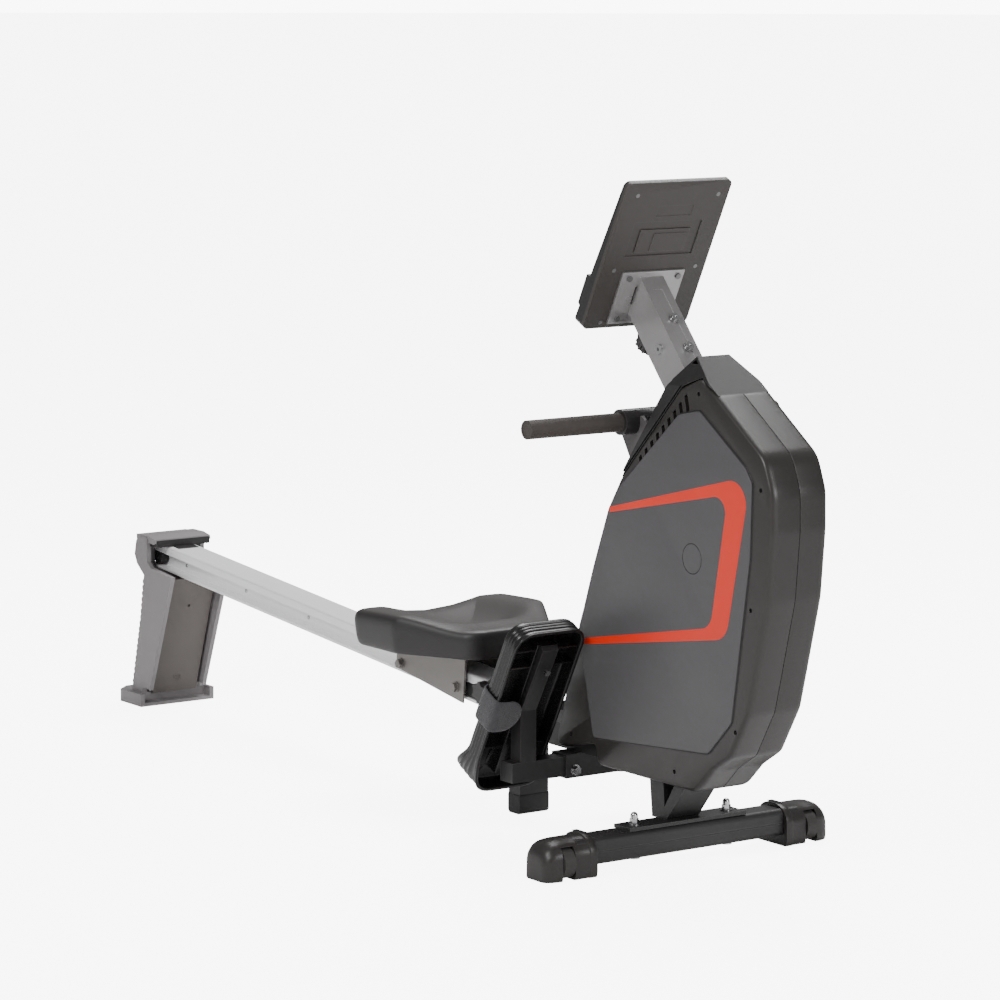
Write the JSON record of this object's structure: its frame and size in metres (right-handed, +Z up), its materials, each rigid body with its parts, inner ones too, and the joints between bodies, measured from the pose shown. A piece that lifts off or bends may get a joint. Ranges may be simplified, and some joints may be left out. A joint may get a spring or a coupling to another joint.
{
  "type": "rowing machine",
  "caption": "Folding magnetic rowing machine: slim upright flywheel housing, leaning console, pull handle, pivoting footrest frame and a contoured seat rolling on a sloping rail.",
  "frame": {"origin": "middle of the footprint of the whole machine, on the floor", "axes": "+X along the rail towards the flywheel end, +Y across the machine, +Z up"},
  "size_m": [1.83, 0.52, 0.9984],
  "materials": {
    "frame_black": "satin powder coat",
    "bolt_steel": "bright zinc",
    "cap_plastic": "satin moulded",
    "wheel_rubber": "satin",
    "shell_plastic": "satin moulded",
    "cap_grey": "satin moulded",
    "cover_grey": "satin, fine grain",
    "stripe_red": "satin",
    "post_grey": "satin metallic",
    "console_taupe": "fine texture",
    "console_black": "satin",
    "lens_glass": "polished",
    "cell_yellow": "printed sleeve",
    "key_red": "soft touch",
    "flywheel_iron": "turned",
    "bracket_zinc": "yellow zinc",
    "pulley_black": "moulded",
    "belt_rubber": "matt",
    "spring_steel": "blued",
    "nylon": "natural nylon",
    "webbing": "woven",
    "grip_foam": "foam",
    "handle_plastic": "fine texture",
    "rest_grey": "satin",
    "foot_plastic": "satin moulded",
    "strap_fabric": "hook and loop",
    "rail_aluminium": "satin anodised",
    "bumper_rubber": "matt",
    "seat_foam": "integral skin foam",
    "carriage_steel": "satin",
    "leg_plastic": "fine texture",
    "leg_cover": "fine texture"
  },
  "bodies": {
    "frame": {"main_frame": "frame_black", "mast_plates": "frame_black", "stabiliser_tube": "frame_black", "stabiliser_bolts": "bolt_steel", "stabiliser_cap_right": "cap_plastic", "stabiliser_cap_left": "cap_plastic", "wheel_axles": "bolt_steel", "centre_foot": "cap_plastic", "housing_right": "shell_plastic", "housing_left": "shell_plastic", "housing_top_cap": "cap_grey", "side_cover_right": "cover_grey", "side_cover_left": "cover_grey", "red_stripes": "stripe_red", "housing_screws": "bolt_steel", "console_post": "post_grey", "frame_bolts": "bolt_steel", "console_back": "console_taupe", "console_front": "console_black", "console_lens": "lens_glass", "console_screws": "bolt_steel", "battery_door": "console_taupe", "batteries": "cell_yellow", "drive_axles": "bolt_steel", "drive_belt": "belt_rubber", "recoil_spring": "spring_steel", "guide_roller": "nylon", "reel_strap": "webbing", "handle_rest": "rest_grey", "footrest_tubes": "frame_black", "footplate_right": "foot_plastic", "footplate_left": "foot_plastic", "foot_straps": "strap_fabric"},
    "handle": {"handlebar": "frame_black", "handle_grips": "grip_foam", "handle_centre": "handle_plastic", "strap_outer": "webbing"},
    "middle_strap": {"strap_middle": "webbing"},
    "inner_strap": {"strap_inner": "webbing"},
    "reel": {"strap_reel": "pulley_black"},
    "flywheel": {"flywheel": "flywheel_iron"},
    "pulley": {"drive_pulley": "pulley_black"},
    "magnets": {"magnet_bracket": "bracket_zinc"},
    "knob": {"tension_knob": "cap_plastic"},
    "left_button": {"button_left": "key_red"},
    "middle_button": {"button_middle": "key_red"},
    "right_button": {"button_right": "key_red"},
    "right_wheel": {"transport_wheel_right": "wheel_rubber"},
    "left_wheel": {"transport_wheel_left": "wheel_rubber"},
    "rail": {"rail": "rail_aluminium", "rail_hinge": "frame_black", "rail_bumpers": "bumper_rubber", "rear_leg": "leg_plastic", "rear_leg_cover": "leg_cover"},
    "fold_knob": {"fold_knob": "cap_plastic", "fold_bolt": "bolt_steel"},
    "seat": {"seat": "seat_foam", "seat_carriage": "carriage_steel"},
    "front_rollers": {"rollers_front": "nylon"},
    "rear_rollers": {"rollers_rear": "nylon"}
  },
  "joints": [
    {"name": "handle_pull", "type": "slide", "parent": "frame", "child": "handle", "axis": [1, 0, 0], "range_m": [-0.75, 0], "stiffness_N_per_m": 60, "springref_m": 0.05},
    {"name": "middle_strap_slide", "type": "slide", "parent": "frame", "child": "middle_strap", "axis": [1, 0, 0], "range_m": [-0.5, 0]},
    {"name": "inner_strap_slide", "type": "slide", "parent": "frame", "child": "inner_strap", "axis": [1, 0, 0], "range_m": [-0.25, 0]},
    {"name": "reel_spin", "type": "hinge", "parent": "frame", "child": "reel", "pos_m": [0.64, 0, 0.262], "axis": [0, 1, 0], "range_deg": [-1435, 0]},
    {"name": "flywheel_spin", "type": "hinge", "parent": "frame", "child": "flywheel", "pos_m": [0.735, 0, 0.462], "axis": [0, 1, 0], "continuous": true},
    {"name": "pulley_spin", "type": "hinge", "parent": "frame", "child": "pulley", "pos_m": [0.64, 0, 0.262], "axis": [0, 1, 0], "continuous": true},
    {"name": "tension_turn", "type": "hinge", "parent": "frame", "child": "knob", "pos_m": [0.56548, 0, 0.76269], "axis": [-0.7547, 0, -0.6561], "range_deg": [0, 300]},
    {"name": "magnet_swing", "type": "hinge", "parent": "frame", "child": "magnets", "pos_m": [0.79, 0, 0.59], "axis": [0, -1, 0], "range_deg": [0, 5]},
    {"name": "left_button_press", "type": "slide", "parent": "frame", "child": "left_button", "axis": [0.891, 0, -0.454], "range_m": [0, 0.0018], "stiffness_N_per_m": 500},
    {"name": "middle_button_press", "type": "slide", "parent": "frame", "child": "middle_button", "axis": [0.891, 0, -0.454], "range_m": [0, 0.0018], "stiffness_N_per_m": 500},
    {"name": "right_button_press", "type": "slide", "parent": "frame", "child": "right_button", "axis": [0.891, 0, -0.454], "range_m": [0, 0.0018], "stiffness_N_per_m": 500},
    {"name": "right_wheel_spin", "type": "hinge", "parent": "frame", "child": "right_wheel", "pos_m": [0.656, -0.223, 0.025], "axis": [0, 1, 0], "continuous": true},
    {"name": "left_wheel_spin", "type": "hinge", "parent": "frame", "child": "left_wheel", "pos_m": [0.656, 0.223, 0.025], "axis": [0, 1, 0], "continuous": true},
    {"name": "rail_fold", "type": "hinge", "parent": "frame", "child": "rail", "pos_m": [0.23905, 0, 0.15895], "axis": [0, 1, 0], "range_deg": [0, 78]},
    {"name": "fold_knob_turn", "type": "hinge", "parent": "rail", "child": "fold_knob", "pos_m": [0.20727, 0, 0.18583], "axis": [0, -1, 0], "range_deg": [0, 720]},
    {"name": "seat_slide", "type": "slide", "parent": "rail", "child": "seat", "axis": [0.9962, 0, -0.0872], "range_m": [-0.73, 0]},
    {"name": "front_rollers_spin", "type": "hinge", "parent": "seat", "child": "front_rollers", "pos_m": [0.11011, 0, 0.17676], "axis": [0, 1, 0], "range_deg": [-3600, 0]},
    {"name": "rear_rollers_spin", "type": "hinge", "parent": "seat", "child": "rear_rollers", "pos_m": [-0.04729, 0, 0.19053], "axis": [0, 1, 0], "range_deg": [-3600, 0]}
  ],
  "couplings": [
    {"joint": "middle_strap_slide", "follows": "handle_pull", "ratio": 0.66667},
    {"joint": "inner_strap_slide", "follows": "handle_pull", "ratio": 0.33333},
    {"joint": "reel_spin", "follows": "handle_pull", "rad_per_m": 33.333},
    {"joint": "pulley_spin", "follows": "flywheel_spin", "ratio": 0.30303},
    {"joint": "magnet_swing", "follows": "tension_turn", "ratio": 0.016667},
    {"joint": "front_rollers_spin", "follows": "seat_slide", "rad_per_m": 81.967},
    {"joint": "rear_rollers_spin", "follows": "seat_slide", "rad_per_m": 81.967}
  ]
}
